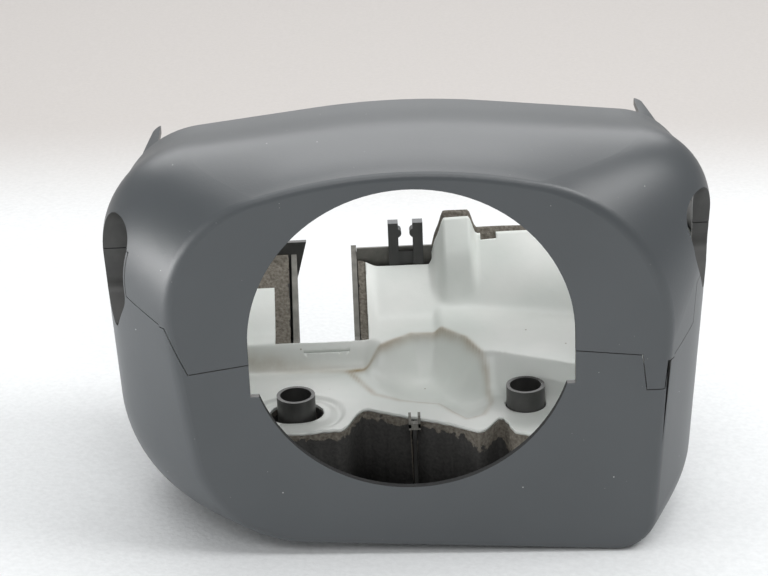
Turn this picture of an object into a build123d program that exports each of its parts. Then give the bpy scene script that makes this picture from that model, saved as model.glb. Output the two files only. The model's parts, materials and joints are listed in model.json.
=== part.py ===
"""Two-piece moulded shroud for a steering column.

An upper and a lower cover close round the column like a clamshell. The front face has the round
opening for the steering hub, each side wall has a slot for a switch stalk, and the rear is open.
The lower cover holds a foam pad with a moulded skin and two tubular screw bosses.

Frame: origin at the centre of the round opening, on the outer plane of the front face. +X is to the
right seen from the driver's seat, +Y runs back along the column and +Z is up. Millimetres.
"""
from build123d import *
from math import cos, pi, radians, sin, sqrt, tan
import os

# ---- walls and clearances
wall = 2.5
face_wall = 2.6
seam_gap = 0.35
liner_gap = 0.3

# ---- cutting blocks and sketches reach past the whole shroud, and thin skims past a face
far = 400.0
past = 5.0
hair = 0.01

# ---- front face: the corners of its outline and their rounding
opening_radius = 60.0
opening_step_depth = 19.3
face_crown_x = -4.0
face_crown_z = 71.0
face_crown_round = 190.0
face_right_shoulder_x = 98.8
face_left_shoulder_x = 93.3
face_shoulder_z = 48.2
face_right_shoulder_round = 64.0
face_left_shoulder_round = 47.0
face_right_foot_x = 88.8
face_left_foot_x = 78.2
face_left_foot_rise = 6.9
face_right_foot_round = 13.5
face_left_foot_round = 44.0
ridge_round = 4.5
ridge_turn = 57.0

# ---- widest section, behind the face
flare_depth = 45.0
crown_round = 300.0
crown_z = 70.0
right_shoulder_x = 117.3
left_shoulder_x = 115.6
shoulder_z = 59.0
right_shoulder_round = 30.0
left_shoulder_round = 38.0
right_foot_x = 107.5
left_foot_x = 110.4
right_foot_round = 30.0
left_foot_round = 53.0

# ---- rear end
upper_depth = 85.0
lower_depth = 125.0
roof_fall = 4.0
shoulder_fall = 6.0
rear_taper = 12.0
rear_foot_round = 20.0

# ---- underside: flat where the part rests, then a ramp up to the rear edge
rest_depth = 89.2
rest_slope = 2.05
ramp_length = 65.0
ramp_radius = 40.0
ramp_angle = 60.0

# ---- parting line between the covers
seam_rear_z = 25.0
left_seam_front_z = 9.6
left_seam_slot_z = 15.4
left_seam_step_z = 33.0
right_seam_front_z = -12.0
right_seam_slot_z = -5.5
face_seam_z = -6.0
face_seam_outer_z = -9.0
face_seam_right_x = 84.8
face_seam_left_x = 82.2
face_seam_turn_x = 85.2
face_seam_turn_z = -1.9
face_seam_ridge_x = 89.7
ridge_band = 0.8
left_seam_fall = 0.2
left_seam_lead = 1.0
left_seam_step_run = 8.0
right_seam_lead = 1.5
right_seam_rise = 8.0
tongue_left_x = 86.4
tongue_right_x = 92.8
tongue_foot_z = -23.3
tongue_side_run = 1.2
slit_top_width = 1.3
slit_top_x = 94.7
slit_foot_x = 92.4
slit_foot_z = -47.5

# ---- stalk slots in the side walls
left_slot_front_y = 19.5
right_slot_front_y = 16.8
slot_rear_y = 42.5
slot_top_z = 43.0
left_slot_foot_z = -3.5
right_slot_foot_z = 2.5
slot_point_share = 0.48
slot_front_rise = 16.0
slot_rear_rise = 14.0
slot_rear_round = 10.0
slot_point_round = 3.0
slot_front_round = 14.0
collar_wall = 2.0
left_collar_x = 97.0
right_collar_x = 108.7

# ---- ears on the upper cover's rear corners
ear_length = 18.5
ear_inner_x = 94.0
ear_root_width = 7.0
ear_tip_width = 3.2
ear_embed = 2.0
ear_tip_round = 1.44

# ---- screw bosses in the lower cover
boss_x = 44.7
boss_y = 41.0
boss_rim_z = -39.6
boss_outer_radius = 7.5
boss_inner_radius = 6.1
boss_seat_depth = 14.0
boss_seat_thickness = 2.5
boss_screw_radius = 2.6
boss_embed = 1.0
boss_screw_reach = 20.0

# ---- rib in the middle of the lower cover's floor
rib_x = 0.8
rib_wall = 1.4
rib_front_y = 28.5
rib_rear_y = 45.0
rib_top_z = -49.6

# ---- cable clip at the rear of the lower cover
clip_x = 1.9
clip_y = 121.0
clip_gap = 6.0
clip_post = 4.2
clip_depth = 4.5
clip_top_z = -1.5
clip_nose = 2.0
clip_saddle_drop = 13.0
clip_saddle_depth = 2.7
clip_saddle_embed = 0.5
clip_nose_bury = 0.667

# ---- notch in the rear of the lower cover
notch_y = 84.5
notch_left_x = -43.8
notch_right_x = -21.0
notch_lip = 2.2
notch_lip_rise = -1.0

# ---- formed liner: skin on foam, in the lower cover
skin_thickness = 1.2
boss_clearance = 0.4
boss_slack_length = 21.0
boss_slack_width = 17.0
bare_strip = 7.0
left_middle_x = -14.0
middle_right_x = 13.0
shelf_z = -48.0
liner_front_y = -20.0
step_z = -38.0
step_y = 79.0
step_run = 5.0
left_foot_y = 90.0
left_slope = 0.75
middle_rise_y = 66.0
middle_rise_run = 16.0
middle_z = -37.0
middle_foot_y = 99.0
middle_slope = 0.85
right_rise_y = 48.0
right_step_run = 14.0
right_z = -34.0
right_foot_y = 104.0
right_rise_run = 19.0
right_rise = 28.0
right_rim_rise = 30.0
hump_left_x = 15.5
hump_right_x = 30.5
hump_height = 8.0
side_foot_x = 72.0
side_slope = 1.9
side_front_y = 20.0
side_edge_x = 130.0
side_edge_y = 30.0
bowl_x = 8.0
bowl_y = 60.0
bowl_z = -27.0
bowl_radius = 26.5
dish_radius = 17.0
dish_depth = 1.8
window_y = 118.5
window_margin = 0.5
skin_left_end_y = 104.0
skin_front = [
    (-60, 27), (-26, 26), (-18, 44), (0, 34), (15, 27), (27, 19), (34, 35), (37, 20), (46, 15), (70, 18)
]
foam_front = [(-60, 29), (-26, 28), (-19, 48), (30, 46), (33, 38), (37, 22), (46, 17), (70, 20)]

FLARE_STEPS = (0, 0.16, 0.36, 0.67, 1)
REAR_STEPS = (0.2, 0.4, 0.6, 0.8, 1.03)
STATIONS = [flare_depth * share for share in FLARE_STEPS]
STATIONS += [flare_depth + (lower_depth - flare_depth) * share for share in REAR_STEPS]


def blend(start, end, share):
    return start + (end - start) * share


def flare(y):
    """0 at the face, 1 from the widest section on."""
    return sin(pi / 2 * min(max(y, 0) / flare_depth, 1))


def taper(y):
    """0 up to the widest section, 1 at the rear end of the lower cover."""
    share = max(0, (y - flare_depth) / (lower_depth - flare_depth))
    return share * share


def underside_lift(y):
    """Height of the underside above its flat part."""
    run = y - (lower_depth - ramp_length)
    bend = ramp_radius * sin(radians(ramp_angle))
    if run <= 0:
        return 0
    if run < bend:
        return ramp_radius - sqrt(ramp_radius**2 - run**2)
    return ramp_radius * (1 - cos(radians(ramp_angle))) + (run - bend) * tan(radians(ramp_angle))


def underside_z(x, y):
    return -rest_depth - tan(radians(rest_slope)) * x + underside_lift(y)


def corners(y):
    """The five corners (x, z, rounding) of the outer section at depth y."""
    f, t = flare(y), taper(y)
    back = max(0, (y - flare_depth) / (upper_depth - flare_depth))
    pull = rear_taper * t
    right_foot = blend(face_right_foot_x, right_foot_x, f) - pull
    left_foot = -blend(face_left_foot_x, left_foot_x, f) + pull
    shoulder = blend(face_shoulder_z, shoulder_z, f) - shoulder_fall * back
    return [
        (
            blend(face_crown_x, 0, f),
            blend(face_crown_z, crown_z, f) - roof_fall * back,
            blend(face_crown_round, crown_round, f),
        ),
        (
            blend(face_right_shoulder_x, right_shoulder_x, f) - pull,
            shoulder,
            blend(face_right_shoulder_round, right_shoulder_round, f),
        ),
        (
            right_foot,
            underside_z(right_foot, y),
            blend(blend(face_right_foot_round, right_foot_round, f), rear_foot_round, t),
        ),
        (
            left_foot,
            underside_z(left_foot, y) + face_left_foot_rise * (1 - f),
            blend(blend(face_left_foot_round, left_foot_round, f), rear_foot_round, t),
        ),
        (
            -blend(face_left_shoulder_x, left_shoulder_x, f) + pull,
            shoulder,
            blend(face_left_shoulder_round, left_shoulder_round, f),
        ),
    ]


def shrink(points, depth):
    """Move each side of the polygon inwards by depth, and tighten its corners to match."""
    moved = []
    for i, point in enumerate(points):
        before, here, after = (Vector(*points[j % len(points)][:2]) for j in (i - 1, i, i + 1))
        u, v = (before - here).normalized(), (after - here).normalized()
        half = radians(u.get_angle(v) / 2)
        inner = here + (u + v).normalized() * (depth / sin(half))
        moved.append((inner.X, inner.Y, point[2] - depth))
    return moved


def section(y, depth):
    points = shrink(corners(y), depth)
    outline = FilletPolyline(*[p[:2] for p in points], radius=[p[2] for p in points], close=True)
    return Plane.XZ.offset(-y) * make_face(outline)


def body(depth=0):
    """The whole shroud as one solid block, its surface moved inwards by depth."""
    return loft([section(y, depth) for y in STATIONS])


def rounded_body():
    """The block with the ridge round its front face rolled over."""
    turn = radians(ridge_turn)
    inset = ridge_round * tan(turn / 2)
    half_y = ridge_round * (1 - cos(turn / 2))
    half_inset = inset - ridge_round * sin(turn / 2) + half_y / tan(turn)
    full_y = ridge_round * (1 - cos(turn))
    nose = loft([section(0, inset), section(half_y, half_inset), section(full_y, 0)])
    return nose + loft([section(y, 0) for y in [full_y] + STATIONS[1:]])


def shell():
    return rounded_body() - room(wall)


def room(depth):
    """The space inside the walls."""
    behind_face = Pos(0, face_wall + lower_depth / 2, 0) * Box(far, lower_depth, far)
    return body(depth) & behind_face


def upper_zone(grow=0):
    """Everything on the upper cover's side of the parting line."""
    face_path = [
        (-far, far),
        (-far, left_seam_front_z),
        (-face_seam_ridge_x, left_seam_front_z),
        (-face_seam_turn_x, face_seam_turn_z),
        (-face_seam_left_x, face_seam_outer_z),
        (-opening_radius, face_seam_z),
        (opening_radius, face_seam_z),
        (face_seam_right_x, face_seam_outer_z),
        (tongue_left_x, tongue_foot_z),
        (tongue_right_x, tongue_foot_z),
        (tongue_right_x + tongue_side_run, right_seam_front_z),
        (far, right_seam_front_z),
        (far, far),
    ]
    left_path = [
        (0, far),
        (0, left_seam_front_z - left_seam_fall),
        (left_slot_front_y - left_seam_lead, left_seam_slot_z),
        (left_slot_front_y - left_seam_lead, left_seam_step_z),
        (left_slot_front_y + left_seam_step_run, left_seam_step_z),
        (slot_rear_y, seam_rear_z),
        (far, seam_rear_z),
        (far, far),
    ]
    right_path = [
        (0, far),
        (0, right_seam_front_z),
        (right_slot_front_y + right_seam_lead, right_seam_slot_z),
        (right_slot_front_y + right_seam_lead, right_slot_foot_z + right_seam_rise),
        (slot_rear_y, seam_rear_z),
        (far, seam_rear_z),
        (far, far),
    ]
    front_depth = face_wall + ridge_band
    front = extrude(grown(Plane.XZ.offset(past), face_path, grow), -(past + front_depth))
    sides = extrude(grown(Plane.YZ.offset(-far), left_path, grow), far)
    sides += extrude(grown(Plane.YZ, right_path, grow), far)
    return front + (sides - Pos(0, front_depth - far / 2, 0) * Box(2 * far, far, 2 * far))


def grown(plane, path, grow):
    face = make_face(Polyline(*path, close=True))
    return plane * (offset(face, grow, kind=Kind.INTERSECTION) if grow else face)


def slot_face(side, grow=0):
    """Outline of a stalk slot, seen from the side: round above, drawn to a blunt point below."""
    front_y = right_slot_front_y if side > 0 else left_slot_front_y
    foot_z = right_slot_foot_z if side > 0 else left_slot_foot_z
    width = slot_rear_y - front_y
    points = [
        (front_y, slot_top_z),
        (slot_rear_y, slot_top_z),
        (slot_rear_y, foot_z + slot_rear_rise),
        (front_y + width * slot_point_share, foot_z),
        (front_y, foot_z + slot_front_rise),
    ]
    top_round = width * slot_point_share
    rounds = [top_round, top_round, slot_rear_round, slot_point_round, slot_front_round]
    outline = FilletPolyline(*points, radius=rounds, close=True)
    face = make_face(outline)
    return Plane.YZ * (offset(face, grow) if grow else face)


def slot_cut(side, grow=0):
    return extrude(slot_face(side, grow), side * far)


def collar(side, inner_x):
    """The wall turned inwards round a stalk slot."""
    ring = slot_cut(side, collar_wall) - slot_cut(side)
    reach = Pos(side * (inner_x + far / 2), 0, 0) * Box(far, far, far)
    return ring & reach & body(hair)


def opening_cut():
    hole = Circle(opening_radius) + Pos(0, -opening_step_depth / 2) * Rectangle(
        2 * opening_radius, opening_step_depth
    )
    return extrude(Plane.XZ.offset(past) * hole, -(past + face_wall + past))


def rear_of(y):
    """Everything behind the plane at depth y."""
    return Pos(0, y + far / 2, 0) * Box(2 * far, far, 2 * far)


def ridge_slit():
    """The narrow relief cut that runs down the right ridge from the end of the parting line."""
    outline = Polyline(
        (slit_top_x - slit_top_width / 2, right_seam_front_z),
        (slit_top_x + slit_top_width / 2, right_seam_front_z),
        (slit_foot_x, slit_foot_z),
        close=True,
    )
    return extrude(Plane.XZ.offset(past) * make_face(outline), -(past + face_wall + wall))


def ears():
    """Tabs that carry the roof's rounded corners straight on past its rear edge."""
    root, tip = upper_depth - ear_embed, upper_depth + ear_length
    carried_on = extrude(section(root, 0) - section(root, wall), root - tip)
    tabs = Part()
    for side in (-1, 1):
        outline = Polyline(
            (side * (ear_inner_x + ear_root_width), root),
            (side * (ear_inner_x + ear_tip_width), tip),
            (side * ear_inner_x, tip),
            (side * ear_inner_x, root),
            close=True,
        )
        plan = make_face(outline)
        plan = fillet(plan.vertices().group_by(Axis.Y)[-1], ear_tip_round)
        tabs += carried_on & extrude(plan, crown_z)
    return tabs


def boss(side):
    """A screw boss: an open cup above the seat, and a deep well below it for the screw's head."""
    foot_z = underside_z(side * boss_x, boss_y) + boss_embed
    seat_z = boss_rim_z - boss_seat_depth
    at = Pos(side * boss_x, boss_y, 0)
    tube = at * Pos(0, 0, (boss_rim_z + foot_z) / 2) * Cylinder(boss_outer_radius, boss_rim_z - foot_z)
    cup = at * Pos(0, 0, seat_z + far / 2) * Cylinder(boss_inner_radius, far)
    well_top = seat_z - boss_seat_thickness
    well = at * Pos(0, 0, well_top - far / 2) * Cylinder(boss_inner_radius, far)
    screw = at * Pos(0, 0, seat_z) * Cylinder(boss_screw_radius, 2 * boss_screw_reach)
    return tube, cup + well + screw


def rib():
    """The fin that stiffens the middle of the floor."""
    profile = make_face(
        Polyline(
            (rib_front_y, -rest_depth),
            (rib_front_y, rib_top_z),
            (rib_rear_y, rib_top_z),
            (rib_rear_y, -rest_depth),
            close=True,
        )
    )
    return Pos(rib_x - rib_wall / 2, 0, 0) * extrude(Plane.YZ * profile, rib_wall)


def snap_clip():
    """Two posts on the ramp that snap round a cable; each has a rounded nose on its inner side."""
    foot_z = underside_z(clip_x, clip_y)
    height = clip_top_z - foot_z
    clip = Part()
    for side in (-1, 1):
        post_x = clip_x + side * (clip_gap + clip_post) / 2
        post = Pos(post_x, clip_y, foot_z + height / 2) * Box(clip_post, clip_depth, height)
        nose_x = post_x - side * (clip_post / 2 - clip_nose_bury)
        nose_z = clip_top_z - clip_depth
        nose = Pos(nose_x, clip_y, nose_z) * Rot(90, 0, 0) * Cylinder(clip_nose, clip_depth)
        clip += post + nose
    saddle_z = clip_top_z - clip_saddle_drop
    width = clip_gap + 2 * clip_saddle_embed
    saddle = Box(width, clip_saddle_depth, saddle_z - foot_z)
    return clip + Pos(clip_x, clip_y, (foot_z + saddle_z) / 2) * saddle


def notch_wall():
    """The upstand round the notch in the floor, up to the level of the liner."""
    outer = notch(notch_left_x - notch_lip, notch_right_x + notch_lip, notch_y - notch_lip)
    ring = outer - notch(notch_left_x, notch_right_x, notch_y)
    return ring & below(Plane.YZ.offset(-far), left_top(), notch_lip_rise, 2 * far) & body(wall / 2)


def notch(left_x, right_x, start_y):
    """The slot cut into the rear edge, from the top right through the floor."""
    width = right_x - left_x
    return Pos((left_x + right_x) / 2, start_y + far / 2, 0) * Box(width, far, far)


def covers():
    whole = shell()
    whole += collar(-1, left_collar_x)
    whole += collar(1, right_collar_x)
    whole -= slot_cut(-1) + slot_cut(1)
    whole -= opening_cut()
    upper = (whole & upper_zone()) - rear_of(upper_depth)
    upper += ears()
    lower = whole - upper_zone(seam_gap) - rear_of(lower_depth)
    lower -= notch(notch_left_x, notch_right_x, notch_y) + ridge_slit()
    for side in (-1, 1):
        tube, hollow = boss(side)
        lower = lower + tube - hollow
    lower += rib() & body(wall / 2)
    lower += (snap_clip() + notch_wall()) - rear_of(lower_depth)
    return upper, lower


def below(plane, top, grow, width):
    """Everything under a line on the plane, the line moved by grow, for a width along the normal."""
    path = [(top[0][0], -far)] + top + [(top[-1][0], -far)]
    return extrude(grown(plane, path, grow), width)


def left_top():
    """The liner's upper surface on the left, seen from the side: two shelves and a ramp."""
    return [
        (liner_front_y, shelf_z),
        (step_y, shelf_z),
        (step_y + step_run, step_z),
        (left_foot_y, step_z),
        (far, step_z + (far - left_foot_y) * left_slope),
    ]


def middle_top():
    return [
        (liner_front_y, shelf_z),
        (middle_rise_y, shelf_z),
        (middle_rise_y + middle_rise_run, middle_z),
        (middle_foot_y, middle_z),
        (far, middle_z + (far - middle_foot_y) * middle_slope),
    ]


def right_top(raised=0):
    crest_z = right_z + right_rise + raised
    return [
        (liner_front_y, shelf_z),
        (right_rise_y, shelf_z),
        (right_rise_y + right_step_run, right_z),
        (right_foot_y - raised / 2, right_z),
        (right_foot_y + right_rise_run, crest_z),
        (far, crest_z + right_rim_rise),
    ]


def liner_block(drop):
    """Everything under the liner's upper surface, that surface lowered by drop."""
    side_top = [
        (side_foot_x, shelf_z + right_z),
        (side_foot_x, shelf_z),
        (far, shelf_z + (far - side_foot_x) * side_slope),
    ]
    strips = (
        (-far, left_middle_x, left_top()),
        (left_middle_x, middle_right_x, middle_top()),
        (middle_right_x, far, right_top()),
        (hump_left_x + drop, hump_right_x - drop, right_top(hump_height)),
    )
    block = Part()
    for start_x, end_x, top in strips:
        block += below(Plane.YZ.offset(start_x), top, -drop, end_x - start_x)
    right_side = below(Plane.XZ.offset(side_front_y), side_top, -drop, -far)
    block += right_side + mirror(right_side, Plane.YZ)
    cradle = Pos(bowl_x, bowl_y, bowl_z) * Sphere(bowl_radius + drop)
    dish_plane = Plane.XY.offset(shelf_z - dish_depth - drop)
    dish = extrude(dish_plane * (Pos(-boss_x, boss_y) * Circle(dish_radius + drop)), dish_depth + wall)
    return block - cradle - dish


def liner_plan(front_line):
    """Outline of the liner from above, behind its front edge."""
    outline = Polyline(
        *front_line,
        (side_edge_x, side_edge_y),
        (side_edge_x, far),
        (-side_edge_x, far),
        (-side_edge_x, side_edge_y),
        close=True,
    )
    return extrude(Plane.XY.offset(-far) * make_face(outline), 2 * far)


def boss_holes(grow):
    """Holes in the liner round the screw bosses: the left one has slack, the right one is snug."""
    right = Pos(boss_x, boss_y) * Circle(boss_outer_radius + boss_clearance + grow)
    left = Pos(-boss_x, boss_y) * SlotOverall(boss_slack_length + 2 * grow, boss_slack_width + 2 * grow)
    return extrude(Plane.XY.offset(-far) * (right + left), 2 * far)


def rear_window(edge):
    """Space over the clip where the liner stops short of the rear edge."""
    width = middle_right_x - left_middle_x - 2 * window_margin
    return Pos((middle_right_x + left_middle_x) / 2, edge + far / 2, 0) * Box(width, far, far)


def liner():
    """The skin on top and the foam under it, inside the lower cover."""
    depth = lower_depth - 2 * face_wall
    inside = body(wall + liner_gap) & Pos(0, lower_depth / 2, 0) * Box(far, depth, far)
    inside -= boss_holes(0)
    inside -= upper_zone(liner_gap)
    for side in (-1, 1):
        inside -= slot_cut(side, collar_wall + liner_gap)
    lip = notch_lip + liner_gap
    inside -= notch(notch_left_x - lip, notch_right_x + lip, notch_y - lip)
    inside -= rear_window(window_y)
    foam = liner_block(skin_thickness) & inside & liner_plan(foam_front)
    foam -= rib_room()
    skin = (liner_block(0) - liner_block(skin_thickness)) & inside & liner_plan(skin_front)
    skin -= notch(notch_left_x - bare_strip, notch_right_x + bare_strip, notch_y - lip)
    bare_corner = Pos(notch_left_x - bare_strip - far / 2, skin_left_end_y + far / 2, 0) * Box(far, far, far)
    return skin - bare_corner, foam


def rib_room():
    """The slot in the foam for the rib."""
    width = rib_wall + 2 * liner_gap
    top, rear = rib_top_z + liner_gap, rib_rear_y + liner_gap
    return Pos(rib_x, rear - far / 2, top - far / 2) * Box(width, far, far)


def save(name, solid):
    export_step(solid, os.path.join("parts", name + ".step"))


os.makedirs("parts", exist_ok=True)
upper_shroud, lower_shroud = covers()
save("upper_shroud", upper_shroud)
save("lower_shroud", lower_shroud)
liner_skin, liner_foam = liner()
save("liner_skin", liner_skin)
save("liner_foam", liner_foam)
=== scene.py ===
"""A moulded steering column shroud, dressed for looks.

The covers are painted outside and black inside. The lower one holds a formed white liner on foam.
"""
import json
import math

import bpy
from mathutils import Matrix, Vector, noise
from mathutils.bvhtree import BVHTree

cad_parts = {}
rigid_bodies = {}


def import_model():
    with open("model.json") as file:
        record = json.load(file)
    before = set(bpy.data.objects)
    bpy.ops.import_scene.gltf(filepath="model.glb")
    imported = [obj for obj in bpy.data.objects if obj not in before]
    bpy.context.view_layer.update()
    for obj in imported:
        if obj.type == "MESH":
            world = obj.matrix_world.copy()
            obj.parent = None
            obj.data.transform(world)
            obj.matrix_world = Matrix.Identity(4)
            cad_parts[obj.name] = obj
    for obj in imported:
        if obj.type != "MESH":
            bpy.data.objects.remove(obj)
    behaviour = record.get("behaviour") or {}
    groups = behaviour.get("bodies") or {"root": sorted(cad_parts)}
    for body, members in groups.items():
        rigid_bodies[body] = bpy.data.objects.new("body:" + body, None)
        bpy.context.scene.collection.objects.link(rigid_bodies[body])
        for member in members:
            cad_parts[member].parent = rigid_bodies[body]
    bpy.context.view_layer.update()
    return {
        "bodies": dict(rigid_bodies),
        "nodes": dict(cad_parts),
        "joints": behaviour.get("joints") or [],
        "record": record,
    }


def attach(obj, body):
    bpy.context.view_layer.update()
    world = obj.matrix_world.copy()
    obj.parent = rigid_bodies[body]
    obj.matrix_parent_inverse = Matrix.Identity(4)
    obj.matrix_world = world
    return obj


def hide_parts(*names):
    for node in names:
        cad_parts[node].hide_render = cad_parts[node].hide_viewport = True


MM = 0.001

# ---- the camera: place and aim
CAMERA_PLACE = Vector((-18.2, -724.4, 344.5)) * MM
CAMERA_RIGHT = Vector((0.99896, -0.02822, -0.03589))
CAMERA_UP = Vector((0.04426, 0.40548, 0.91303))
CAMERA_LENS = 103.125

# ---- the table that the part stands on
REST_HEIGHT = -89.2 * MM
REST_SLOPE = math.radians(2.05)
FLOOR_SIZE = 12.0

# ---- liner, in mm: heights of its shelf and of the steps behind it, and its rear end
SHELF = -48.0
LEFT_STEP = -38.0
MIDDLE_STEP = -37.0
RIGHT_STEP = -34.0
REAR = 122.0

# ---- liner, in mm: the skin's thickness, the foam's rim behind it and its lead before it
SKIN = 1.2
FOAM_RIM = 1.7
FOAM_LEAD = 0.5

# ---- liner, in mm: where its sides start to climb, how steeply, and its ends at the covers
SIDE_FOOT, SIDE_SLOPE = 72.0, 1.9
HALF_WIDTH = 104.0
WALL_GAP = 0.6

# ---- liner in plan, in mm: the cradle's rim and the run of its wall, and the skin's front edge
CRADLE_RIM = [
    (-24, 76), (-9, 79), (2, 86), (13, 85.5), (23, 75), (30.5, 56), (31.5, 44),
    (28, 34), (21, 31), (16, 37), (11, 45), (-4, 49), (-14, 55),
]
CRADLE_WALL = 15.0
SKIN_FRONT = [
    (-60, 27), (-26, 26), (-18, 44), (0, 34), (15, 27),
    (27, 19), (34, 35), (37, 20), (46, 15), (70, 18),
]

# ---- lower cover, in mm: its screw bosses, the lip round its notch and the top of its rib
BOSS_X, BOSS_Y = 44.7, 41.0
LIP_LEFT, LIP_RIGHT, LIP_WIDTH, LIP_FRONT = -43.8, -21.0, 2.2, 84.5
RIB_X, RIB_FRONT, RIB_TOP = 0.8, 28.5, -49.6

# ---- blocks cut from the skin, in mm: the notch, the slit, then the rear edge from left to right
SKIN_CUTS = [
    ((-53.3, LIP_FRONT - 0.1, -90), (-15.2, 140, 40)),
    ((-42, 82.1, -90), (-23.2, 82.55, 40)),
    ((-140, 109.5, -90), (-40, 140, 40)),
    ((-20, 118.5, -90), (12.5, 140, 40)),
    ((33, 118.4, -90), (39.5, 140, 40)),
]

# ---- the round opening and the wall that it goes through, in metres
OPENING_RADIUS = 60 * MM
FACE_WALL = 2.6 * MM

# ---- the covers' coats, in the order of their material slots
# the last slot holds the painted shade for the wall of the round opening
PAINTED, BLACK, SCUFFED, OPENING_SHADE = range(4)


def linear(hex_colour):
    """An sRGB hex colour as the linear values that shaders take."""
    values = [int(hex_colour[i : i + 2], 16) / 255 for i in (1, 3, 5)]
    return [v / 12.92 if v <= 0.04045 else ((v + 0.055) / 1.055) ** 2.4 for v in values] + [1.0]


def node(tree, kind, settings=None, **links):
    """Adds a shader node; settings are its properties, links its inputs by name, as values or sockets."""
    made = tree.nodes.new(kind)
    for name, value in (settings or {}).items():
        setattr(made, name, value)
    for name, value in links.items():
        key = int(name[1:]) if name[0] == "i" and name[1:].isdigit() else name.replace("_", " ")
        socket = made.inputs[key]
        if isinstance(value, bpy.types.NodeSocket):
            tree.links.new(value, socket)
        else:
            socket.default_value = value
    return made


def new_material(name):
    """A material with an empty tree: its output, and the place on the object to paint by."""
    material = bpy.data.materials.new(name)
    material.use_nodes = True
    tree = material.node_tree
    tree.nodes.clear()
    output = tree.nodes.new("ShaderNodeOutputMaterial")
    coords = node(tree, "ShaderNodeTexCoord").outputs["Object"]
    return material, tree, output, coords


def noise_value(tree, coords, size_mm, detail=2.0):
    made = node(tree, "ShaderNodeTexNoise", Vector=coords, Scale=1 / (size_mm * MM), Detail=detail)
    return made.outputs["Fac"]


def ramp(tree, value, low, high, low_hex, high_hex):
    made = node(tree, "ShaderNodeValToRGB", Fac=value)
    made.color_ramp.elements[0].position = low
    made.color_ramp.elements[0].color = linear(low_hex)
    made.color_ramp.elements[1].position = high
    made.color_ramp.elements[1].color = linear(high_hex)
    return made.outputs["Color"]


def map_range(tree, value, low, high, start=0.0, end=1.0, settings=None):
    """The value, carried from the span low to high over to the span start to end."""
    made = node(tree, "ShaderNodeMapRange", settings, i0=value, i1=low, i2=high, i3=start, i4=end)
    return made.outputs[0]


def arithmetic(tree, operation, first, second):
    made = node(tree, "ShaderNodeMath", {"operation": operation}, i0=first, i1=second)
    return made.outputs[0]


def mixed(tree, share, first, second):
    made = node(tree, "ShaderNodeMix", {"data_type": "RGBA"}, i0=share)
    for value, socket in ((first, made.inputs[6]), (second, made.inputs[7])):
        if isinstance(value, bpy.types.NodeSocket):
            tree.links.new(value, socket)
        else:
            socket.default_value = linear(value)
    return made.outputs[2]


def specks(tree, coords, spacing_mm, size_share):
    """1 on small dots scattered at random, 0 between them."""
    cells = node(tree, "ShaderNodeTexVoronoi", Vector=coords, Scale=1 / (spacing_mm * MM))
    return map_range(tree, cells.outputs["Distance"], size_share, size_share * 0.6)


def finish_surface(tree, output, shader_values, colour, bump=None, bump_mm=0.05):
    shader = node(tree, "ShaderNodeBsdfPrincipled", None, **shader_values)
    tree.links.new(colour, shader.inputs["Base Color"])
    if bump is not None:
        bumped = node(tree, "ShaderNodeBump", Strength=1.0, Distance=bump_mm * MM, Height=bump)
        tree.links.new(bumped.outputs[0], shader.inputs["Normal"])
    tree.links.new(shader.outputs[0], output.inputs["Surface"])


def painted_abs():
    """Soft matt paint on moulded ABS: an even slate grey with a faint grain and stray dust."""
    material, tree, output, coords = new_material("painted_abs")
    clouds = ramp(tree, noise_value(tree, coords, 45), 0.3, 0.7, "#414548", "#45494c")
    grain = noise_value(tree, coords, 0.7, 3.0)
    dust = specks(tree, coords, 11, 0.03)
    fine_dust = specks(tree, coords, 5, 0.025)
    colour = mixed(tree, arithmetic(tree, "MAXIMUM", dust, fine_dust), clouds, "#a9aba8")
    finish_surface(tree, output, {"Roughness": 0.4, "IOR": 1.65}, colour, grain, 0.03)
    return material


def black_abs():
    """Bare black ABS, as moulded: a low sheen with a slight ripple."""
    material, tree, output, coords = new_material("black_abs")
    colour = ramp(tree, noise_value(tree, coords, 6, 4.0), 0.3, 0.75, "#3c3c3b", "#494947")
    finish_surface(tree, output, {"Roughness": 0.38}, colour, noise_value(tree, coords, 2.5, 3.0), 0.06)
    return material


def scuffed_abs():
    """The same ABS where it was rubbed and dusty: a paler grey."""
    material, tree, output, coords = new_material("scuffed_abs")
    colour = ramp(tree, noise_value(tree, coords, 4, 4.0), 0.3, 0.75, "#75746e", "#908e87")
    finish_surface(tree, output, {"Roughness": 0.6}, colour, noise_value(tree, coords, 2.5, 3.0), 0.06)
    return material


def opening_painted_shade():
    """The wall of the round opening, coloured near black as painted shade."""
    material, tree, output, coords = new_material("opening_painted_shade")
    # painted shade: a near-black colour for the opening's wall, darker than the bare black ABS
    colour = ramp(tree, noise_value(tree, coords, 6, 4.0), 0.3, 0.75, "#1c1d1e", "#242526")
    finish_surface(tree, output, {"Roughness": 0.8}, colour)
    return material


def white_film():
    """Vacuum-formed white film: glossy in soft folds, stained tan where it was handled."""
    material, tree, output, coords = new_material("white_film")
    stain = node(tree, "ShaderNodeAttribute", {"attribute_name": "stain"}).outputs["Fac"]
    patches = arithmetic(tree, "MULTIPLY", stain, noise_value(tree, coords, 9, 4.0))
    clean = ramp(tree, noise_value(tree, coords, 30, 3.0), 0.35, 0.7, "#edf2ed", "#f8faf6")
    dirt = specks(tree, coords, 14, 0.035)
    marked = mixed(tree, dirt, clean, "#b7b3a8")
    colour = mixed(tree, patches, marked, "#a08a64")
    finish_surface(tree, output, {"Roughness": 0.35}, colour, noise_value(tree, coords, 5, 3.0), 0.1)
    return material


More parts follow.
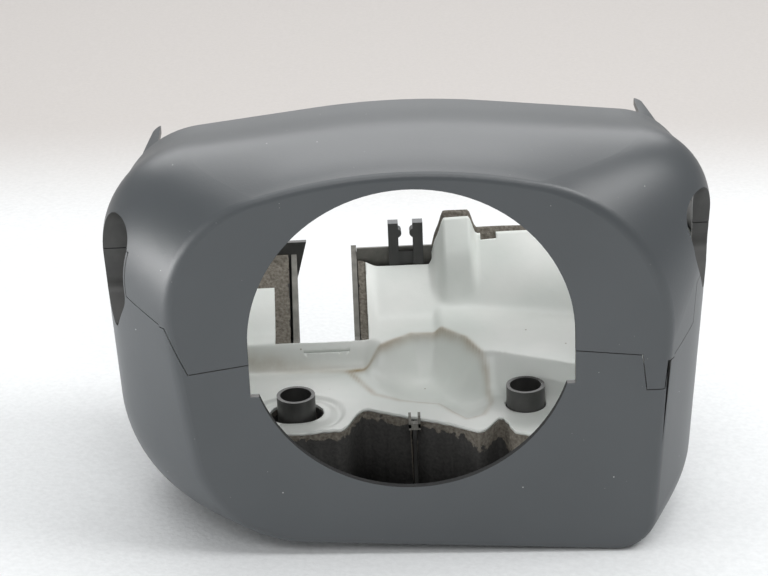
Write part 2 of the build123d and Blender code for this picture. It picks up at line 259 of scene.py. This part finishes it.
def cut_foam():
    """Dark polyurethane foam: its skinned front is black, and its torn rim shows grey open cells."""
    material, tree, output, coords = new_material("cut_foam")
    cells = noise_value(tree, coords, 1.3, 6.0)
    torn_here = node(tree, "ShaderNodeAttribute", {"attribute_name": "torn"}).outputs["Fac"]
    wander = map_range(tree, noise_value(tree, coords, 3.5, 5.0), 0.3, 0.7, -2.0, 2.0)
    shown = map_range(tree, arithmetic(tree, "ADD", torn_here, wander), -0.3, 0.3)
    torn = ramp(tree, cells, 0.3, 0.72, "#5d574e", "#8d887e")
    skinned = ramp(tree, cells, 0.3, 0.72, "#3a3a39", "#4a4947")
    colour = mixed(tree, shown, skinned, torn)
    finish_surface(tree, output, {"Roughness": 0.9}, colour, cells, 0.5)
    return material


def paper():
    """Matt white paper with a fine tooth, greyer towards the back: painted shade for the weaker light
    there.
    """
    material, tree, output, coords = new_material("paper")
    tooth = noise_value(tree, coords, 2.2, 4.0)
    near = ramp(tree, tooth, 0.3, 0.7, "#e2e4e5", "#eaeced")
    far_painted_shade = ramp(tree, tooth, 0.25, 0.75, "#c4c0bd", "#c9c5c2")
    depth = node(tree, "ShaderNodeSeparateXYZ", i0=coords).outputs["Y"]
    # painted shade: the share of the greyer far colour grows from 0.31 m to 0.50 m back
    painted_shade_share = map_range(tree, depth, 0.31, 0.50, settings={"interpolation_type": "SMOOTHSTEP"})
    colour = mixed(tree, painted_shade_share, near, far_painted_shade)
    finish_surface(tree, output, {"Roughness": 0.95}, colour, tooth, 0.15)
    return material


def smooth(share):
    share = min(max(share, 0.0), 1.0)
    return share * share * (3 - 2 * share)


def blend(start, end, share):
    return start + (end - start) * share


def soft_ramp(run, slope, round_mm):
    """Height after a run up a slope whose foot is rounded."""
    return slope * (run + math.sqrt(run * run + round_mm * round_mm)) / 2


def liner_height(x, y):
    """Height of the liner's upper surface over the plan, in mm, before its sides climb the covers."""
    left = blend(SHELF, LEFT_STEP, smooth((y - 78) / 7)) + soft_ramp(y - 91, 0.75, 3)
    middle = blend(SHELF, MIDDLE_STEP, smooth((y - 66) / 16)) + soft_ramp(y - 99, 0.85, 3)
    rise_y = 50 - 0.5 * max(x - 34, 0)
    wall_foot = 104 - 0.3 * (x - 17)
    wall_slope = 28 / (REAR - wall_foot)
    right = blend(SHELF, RIGHT_STEP, smooth((y - rise_y) / 11)) + soft_ramp(y - wall_foot, wall_slope, 3)
    hump_share = smooth((x - 14.5) / 3.5) * smooth((31.5 - x) / 3.5)
    right += 8 * hump_share * smooth((y - 103) / 9)
    height = blend(left, middle, smooth((x + 18) / 8))
    height = blend(height, right, smooth((x - 11) / 4))
    inside = rim_distance(x, y)
    if inside > 0:
        floor = blend(-45.5, -53.5, smooth((x + 22) / 26))
        floor += 3.5 * smooth((14 - x) / 26) * smooth((62 - y) / 14)
        share = min(inside / CRADLE_WALL, 1)
        height = min(height, blend(height, floor, 1 - (1 - share) ** 2))
    height += 1.6 * math.exp(-(((x - 20) / 4.5) ** 2) - ((y - 105) / 3) ** 2)
    away = math.hypot(max(abs(x + BOSS_X) - 3, 0), y - BOSS_Y)
    return height - 0.9 * smooth((16 - away) / 2) + 1.2 * smooth((14 - away) / 5)


def rim_distance(x, y):
    """Distance from the cradle's rim: above 0 inside it, below 0 outside."""
    nearest, inside = 1e9, False
    for (x0, y0), (x1, y1) in zip(CRADLE_RIM, CRADLE_RIM[1:] + CRADLE_RIM[:1]):
        run_x, run_y = x1 - x0, y1 - y0
        share = ((x - x0) * run_x + (y - y0) * run_y) / (run_x**2 + run_y**2)
        share = min(max(share, 0), 1)
        nearest = min(nearest, math.hypot(x - x0 - share * run_x, y - y0 - share * run_y))
        if (y0 > y) != (y1 > y) and x < x0 + (y - y0) * run_x / run_y:
            inside = not inside
    return nearest if inside else -nearest


def front_edge(points, x):
    """The liner's front edge: straight runs between the points, with rounded corners."""
    total = 0
    for shift in (-2, 0, 2):
        for (x0, y0), (x1, y1) in zip(points, points[1:]):
            if x0 <= x + shift <= x1:
                total += blend(y0, y1, (x + shift - x0) / (x1 - x0))
                break
        else:
            total += points[0][1] if x + shift < points[0][0] else points[-1][1]
    return total / 3


class CoverWalls:
    """Finds the covers' inner walls, so that the liner ends just inside them."""

    def __init__(self, frame):
        mesh = frame["nodes"]["lower_shroud"].data
        corners = [v.co.copy() for v in mesh.vertices]
        self.tree = BVHTree.FromPolygons(corners, [tuple(f.vertices) for f in mesh.polygons])

    def side(self, side, y):
        """Where the liner's top edge meets the side wall: (x, z) in mm."""
        over_slot = smooth((y - 46) / 8)
        low = -9.0 if side < 0 else -3.0
        z = blend(low, 14.0, over_slot)
        hit = self.tree.ray_cast(Vector((side * 80, y, z)) * MM, Vector((side, 0, 0)))[0]
        return (abs(hit.x) / MM if hit else HALF_WIDTH) - WALL_GAP, z

    def floor(self, place):
        """Height of the cover's inner surface under the place, or the place's own without one."""
        hit, normal = self.tree.ray_cast(place, Vector((0, 0, -1)))[:2]
        return hit.z + 0.3 * MM if hit and normal.z > 0 else place.z


def liner_grid(name, walls, lead, rear, drop, roughness):
    """A grid shaped to the liner's upper surface, lowered by drop up to its rear rim."""
    clear_selection()
    bpy.ops.mesh.primitive_grid_add(x_subdivisions=220, y_subdivisions=130, size=2)
    piece = bpy.context.object
    piece.name = name
    edges = {}
    for vertex in piece.data.vertices:
        across, along = vertex.co.x, (vertex.co.y + 1) / 2
        first = front_edge(SKIN_FRONT, across * HALF_WIDTH) - lead
        first += roughness * noise.noise(Vector((across * 40, 0, drop)))
        y = blend(first, rear, along)
        key = (across > 0, round(y, 1))
        if key not in edges:
            edges[key] = walls.side(1 if across > 0 else -1, y)
        limit, top = edges[key]
        x = across * limit
        z = liner_height(x, y)
        side_z = SHELF + SIDE_SLOPE * (abs(x) - SIDE_FOOT)
        z = max(z, min(side_z, top))
        z += 0.25 * noise.noise(Vector((x / 14, y / 14, 3)))
        z -= drop * (1 - smooth((y - REAR + FOAM_RIM + 0.3) / 0.5))
        vertex.co = Vector((x, y, z)) * MM
    for face in piece.data.polygons:
        face.use_smooth = True
    return piece


def cut_away(piece, cutter):
    clear_selection()
    bpy.context.view_layer.objects.active = piece
    piece.select_set(True)
    cut = piece.modifiers.new("cut", "BOOLEAN")
    cut.operation, cut.object, cut.solver = "DIFFERENCE", cutter, "EXACT"
    bpy.ops.object.modifier_apply(modifier="cut")
    bpy.data.objects.remove(cutter)


def block(low, high):
    """A box between two corners, in mm."""
    clear_selection()
    centre = [(a + b) / 2 * MM for a, b in zip(low, high)]
    bpy.ops.mesh.primitive_cube_add(size=1, location=centre)
    made = bpy.context.object
    made.scale = [(b - a) * MM for a, b in zip(low, high)]
    bpy.ops.object.transform_apply(location=True, rotation=True, scale=True)
    return made


def rod(x, y, radius, low, high, stretch=0.0):
    """An upright cylinder in mm, drawn out along X by the stretch."""
    clear_selection()
    bpy.ops.mesh.primitive_cylinder_add(
        vertices=64, radius=radius * MM, depth=(high - low) * MM, location=(0, 0, (high + low) / 2 * MM)
    )
    made = bpy.context.object
    bpy.ops.object.transform_apply(location=True, rotation=True, scale=True)
    for vertex in made.data.vertices:
        vertex.co.x += math.copysign(stretch / 2 * MM, vertex.co.x)
        vertex.co += Vector((x, y, 0)) * MM
    return made


def boss_holes(piece):
    cut_away(piece, rod(BOSS_X, BOSS_Y, 7.9, -100, 0))
    cut_away(piece, rod(-BOSS_X, BOSS_Y, 8.5, -100, 0, stretch=4))


def liner_skin(walls):
    """The white formed skin, stained tan along its rim and folds, and cut open where SKIN_CUTS says."""
    piece = liner_grid("liner_film", walls, 0.0, REAR - FOAM_RIM, 0.0, 0.5)
    stain = piece.data.attributes.new("stain", "FLOAT", "POINT")
    for vertex, value in zip(piece.data.vertices, stain.data):
        x, y = vertex.co.x / MM, vertex.co.y / MM
        rim = math.exp(-((rim_distance(x, y) / 1.2) ** 2)) * (0.6 + 0.4 * smooth((y - 50) / 20))
        fold = 0.7 * math.exp(-(((y - 77 + 0.12 * (x + 30)) / 2.2) ** 2)) * smooth((-12 - x) / 10)
        value.value = rim + fold
    thicken = piece.modifiers.new("thickness", "SOLIDIFY")
    thicken.thickness, thicken.offset = SKIN * MM, -1
    bpy.ops.object.modifier_apply(modifier="thickness")
    boss_holes(piece)
    for low, high in SKIN_CUTS:
        cut_away(piece, block(low, high))
    piece.data.materials.append(white_film())
    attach(piece, "root")
    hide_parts("liner_skin")


def liner_foam(walls):
    """The foam under the skin, down to the floor of the lower cover, its front edge torn."""
    piece = liner_grid("liner_foam_pad", walls, FOAM_LEAD, REAR, SKIN + 0.05, 1.3)
    clear_selection()
    bpy.context.view_layer.objects.active = piece
    piece.select_set(True)
    bpy.ops.object.mode_set(mode="EDIT")
    bpy.ops.mesh.select_all(action="SELECT")
    bpy.ops.mesh.extrude_region_move(TRANSFORM_OT_translate={"value": (0, 0, -10 * MM)})
    bpy.ops.object.mode_set(mode="OBJECT")
    torn = piece.data.attributes.new("torn", "FLOAT", "POINT")
    for vertex, value in zip(piece.data.vertices, torn.data):
        x = vertex.co.x / MM
        value.value = 2.2 + 5 * math.exp(-(((x - 30) / 9) ** 2)) + 4 * math.exp(-(((x - 37) / 3) ** 2))
        if vertex.select:
            top = vertex.co + Vector((0, 0, 9 * MM))
            vertex.co.z = min(walls.floor(top), top.z)
            value.value -= (top.z - vertex.co.z) / MM
    clear_selection()
    piece.select_set(True)
    bpy.ops.object.mode_set(mode="EDIT")
    bpy.ops.mesh.select_all(action="SELECT")
    bpy.ops.mesh.normals_make_consistent(inside=False)
    bpy.ops.object.mode_set(mode="OBJECT")
    boss_holes(piece)
    lip = LIP_WIDTH + 0.3
    cut_away(piece, block((LIP_LEFT - lip - 0.8, LIP_FRONT - lip, -100), (LIP_RIGHT + lip, 140, 40)))
    cut_away(piece, block((-20, 119.5, -100), (12.5, 140, 40)))
    cut_away(piece, block((RIB_X - 0.9, 10, -100), (RIB_X + 0.9, 45.5, RIB_TOP + 0.6)))
    piece.data.materials.append(cut_foam())
    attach(piece, "root")
    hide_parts("liner_foam")


def small_pieces(scuffed, bare):
    """What the covers carry besides: the rib's prongs, the raised rear rim and the clip's plate."""
    front, rear = RIB_FRONT - 0.4, RIB_FRONT + 2.6
    prongs = [
        block((RIB_X + x, front, RIB_TOP - 0.2), (RIB_X + x + 1, rear, RIB_TOP + 5.2))
        for x in (-2.3, 1.3)
    ]
    prongs.append(block((RIB_X - 2.3, front, RIB_TOP - 1), (RIB_X + 2.3, rear, RIB_TOP + 1.5)))
    clear_selection()
    for part in prongs:
        part.select_set(True)
    bpy.context.view_layer.objects.active = prongs[0]
    bpy.ops.object.join()
    rim = block((-68, 122.4, -26), (-43.9, 124.8, -9.5))
    # the rim's upper right corners reach out over the notch's lip
    for vertex in rim.data.vertices:
        if vertex.co.x > -50 * MM and vertex.co.z > -20 * MM:
            vertex.co.x = -39.5 * MM
    plate = block((-18.7, 121.2, -26), (13.2, 122.4, -13))
    for piece, name, material in (
        (prongs[0], "rib_prongs", scuffed), (rim, "rear_rim", bare), (plate, "clip_plate", scuffed)
    ):
        piece.name = name
        piece.data.materials.append(material)
        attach(piece, "root")


def clear_selection():
    if bpy.context.mode != "OBJECT":
        bpy.ops.object.mode_set(mode="OBJECT")
    bpy.ops.object.select_all(action="DESELECT")


def paint_covers(frame):
    """The covers are painted outside only: each face looks out or in, from the middle of the shroud."""
    coats = [painted_abs(), black_abs(), scuffed_abs(), opening_painted_shade()]
    for name in ("upper_shroud", "lower_shroud"):
        mesh = frame["nodes"][name].data
        mesh.materials.clear()
        for coat in coats:
            mesh.materials.append(coat)
        for face in mesh.polygons:
            if name == "lower_shroud" and is_scuffed(face.center / MM):
                face.material_index = SCUFFED
            # the wall of the round opening gets the painted shade coat
            elif on_opening(face.center):
                face.material_index = OPENING_SHADE
            else:
                face.material_index = PAINTED if looks_out(face.center, face.normal) else BLACK
    return coats


def on_opening(place):
    """On the wall of the round opening."""
    return math.hypot(place.x, place.z) < OPENING_RADIUS * 1.01 and place.y < FACE_WALL * 1.1


def is_scuffed(place):
    """On the lip at the two sides of the notch."""
    on_left = -0.1 < LIP_LEFT - place.x < LIP_WIDTH + 0.1
    on_right = -0.1 < place.x - LIP_RIGHT < LIP_WIDTH + 0.1
    return (on_left or on_right) and place.y > LIP_FRONT - LIP_WIDTH - 0.1 and place.z > -60


def looks_out(place, normal):
    """Whether a cover's face is on its outside, and not in a screw boss or its well."""
    if place.y < 0.4 * MM or normal.y < -0.8 and place.y < 1 * MM:
        return True
    middle = Vector((0, place.y, -10 * MM))
    outward = (place - middle).normalized()
    if outward.dot(normal) < 0.3:
        return False
    from_boss = math.hypot(abs(place.x) - BOSS_X * MM, place.y - BOSS_Y * MM)
    return not (from_boss < 8 * MM and -86 * MM < place.z < -30 * MM)


def stage():
    """A pale paper floor, tilted with the side that the part stands on; its colour greys with distance,
    as painted shade.
    """
    clear_selection()
    bpy.ops.mesh.primitive_grid_add(x_subdivisions=4, y_subdivisions=4, size=FLOOR_SIZE)
    floor = bpy.context.object
    floor.name = "paper_floor"
    floor.rotation_euler = (0, REST_SLOPE, 0)
    floor.location = (0, 0, REST_HEIGHT)
    bpy.ops.object.transform_apply(location=True, rotation=True, scale=True)
    floor.data.materials.append(paper())


def soft_lamp(name, place, size, radiance):
    """A soft box aimed at the part; size and place in metres, radiance as the level it shows."""
    lamp = bpy.data.lights.new(name, "AREA")
    lamp.shape = "RECTANGLE"
    lamp.size, lamp.size_y = size
    lamp.energy = radiance * math.pi * size[0] * size[1]
    holder = bpy.data.objects.new(name, lamp)
    bpy.context.collection.objects.link(holder)
    holder.location = place
    holder.rotation_euler = (-Vector(place)).to_track_quat("-Z", "Y").to_euler()


def light():
    world = bpy.context.scene.world or bpy.data.worlds.new("studio")
    bpy.context.scene.world = world
    world.use_nodes = True
    background = world.node_tree.nodes["Background"]
    background.inputs["Color"].default_value = (1, 1, 1, 1)
    background.inputs["Strength"].default_value = 0.25
    soft_lamp("overhead", (0.0, 0.15, 1.3), (1.3, 1.0), 2.5)
    soft_lamp("from_behind", (0.0, 2.2, 1.15), (2.8, 1.0), 2.8)
    soft_lamp("from_front", (0.0, -1.3, 1.4), (1.2, 0.8), 3.0)
    soft_lamp("from_left", (-1.2, -0.25, 0.06), (0.8, 0.24), 15.0)
    soft_lamp("from_right", (1.1, -0.1, 1.25), (0.8, 0.8), 6.0)


def camera():
    made = bpy.data.objects.new("camera", bpy.data.cameras.new("camera"))
    bpy.context.collection.objects.link(made)
    made.data.lens = CAMERA_LENS
    made.data.sensor_width = 36
    made.data.clip_end = 20
    right, up = CAMERA_RIGHT.normalized(), CAMERA_UP.normalized()
    turn = Matrix((right, up, right.cross(up))).transposed().to_4x4()
    made.matrix_world = Matrix.Translation(CAMERA_PLACE) @ turn
    bpy.context.scene.camera = made


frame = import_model()
bpy.context.scene.view_settings.view_transform = "Standard"
coats = paint_covers(frame)
walls = CoverWalls(frame)
liner_skin(walls)
liner_foam(walls)
small_pieces(coats[SCUFFED], coats[BLACK])
stage()
light()
camera()
